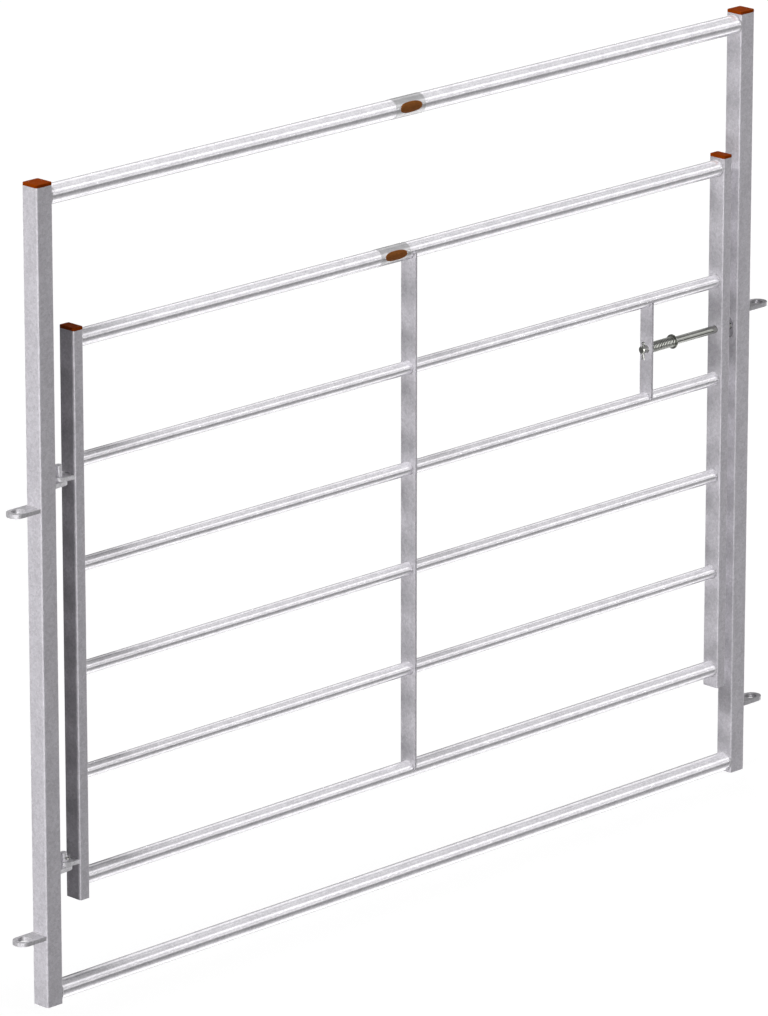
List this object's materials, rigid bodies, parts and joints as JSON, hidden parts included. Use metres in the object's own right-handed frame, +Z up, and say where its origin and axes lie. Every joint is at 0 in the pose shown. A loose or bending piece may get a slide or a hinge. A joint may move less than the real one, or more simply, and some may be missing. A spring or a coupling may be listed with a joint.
{
  "type": "hurdle gate",
  "caption": "Galvanised livestock hurdle with a box-section frame, a tube gate hung on lug hinges inside it, a spring-loaded latch bolt and pinning loops on both posts",
  "frame": {"origin": "on the ground, midway between the two posts and midway through the gateway", "axes": "+X runs along the rails from the hinge post to the latch post, +Y runs through the gateway away from the pictured side, +Z is up"},
  "size_m": [2.594, 0.05, 2.0125],
  "materials": {
    "galvanised": "hot-dip zinc, mottled grey, half gloss",
    "plated_steel": "dull zinc-plated steel, darker than the tubes",
    "cap_plastic": "rust-coloured moulded plastic",
    "label": "bare grey adhesive band"
  },
  "bodies": {
    "frame": {"hinge_post": "galvanised", "latch_post": "galvanised", "frame_top_rail": "galvanised", "frame_bottom_rail": "galvanised", "hinge_post_cap": "cap_plastic", "latch_post_cap": "cap_plastic", "hinge_post_upper_loop": "galvanised", "hinge_post_lower_loop": "galvanised", "latch_post_upper_loop": "galvanised", "latch_post_lower_loop": "galvanised", "upper_hinge_bracket": "galvanised", "lower_hinge_bracket": "galvanised", "upper_hinge_pin": "galvanised", "lower_hinge_pin": "galvanised", "hinge_split_pin": "plated_steel", "frame_label_band": "label"},
    "gate": {"gate_hinge_stile": "galvanised", "gate_latch_stile": "galvanised", "gate_hinge_stile_cap": "cap_plastic", "gate_latch_stile_cap": "cap_plastic", "gate_top_rail": "galvanised", "gate_second_rail": "galvanised", "gate_third_rail": "galvanised", "gate_fourth_rail": "galvanised", "gate_fifth_rail": "galvanised", "gate_bottom_rail": "galvanised", "gate_centre_bar": "galvanised", "latch_bracket": "galvanised", "upper_hinge_eye": "galvanised", "lower_hinge_eye": "galvanised", "gate_label_band": "label", "latch_spring": "plated_steel"},
    "bolt": {"latch_bolt": "plated_steel", "bolt_washer": "plated_steel", "washer_weld": "plated_steel", "bolt_split_pin": "plated_steel"}
  },
  "joints": [
    {"name": "gate_swing", "type": "hinge", "parent": "frame", "child": "gate", "pos_m": [-1.139, 0, 0.335], "axis": [0, 0, 1], "range_deg": [-95, 95]},
    {"name": "bolt_slide", "type": "slide", "parent": "gate", "child": "bolt", "axis": [1, 0, 0], "range_m": [-0.035, 0.0072], "stiffness_N_per_m": 3700, "springref_m": 0.012, "deforming": ["latch_spring"]}
  ]
}
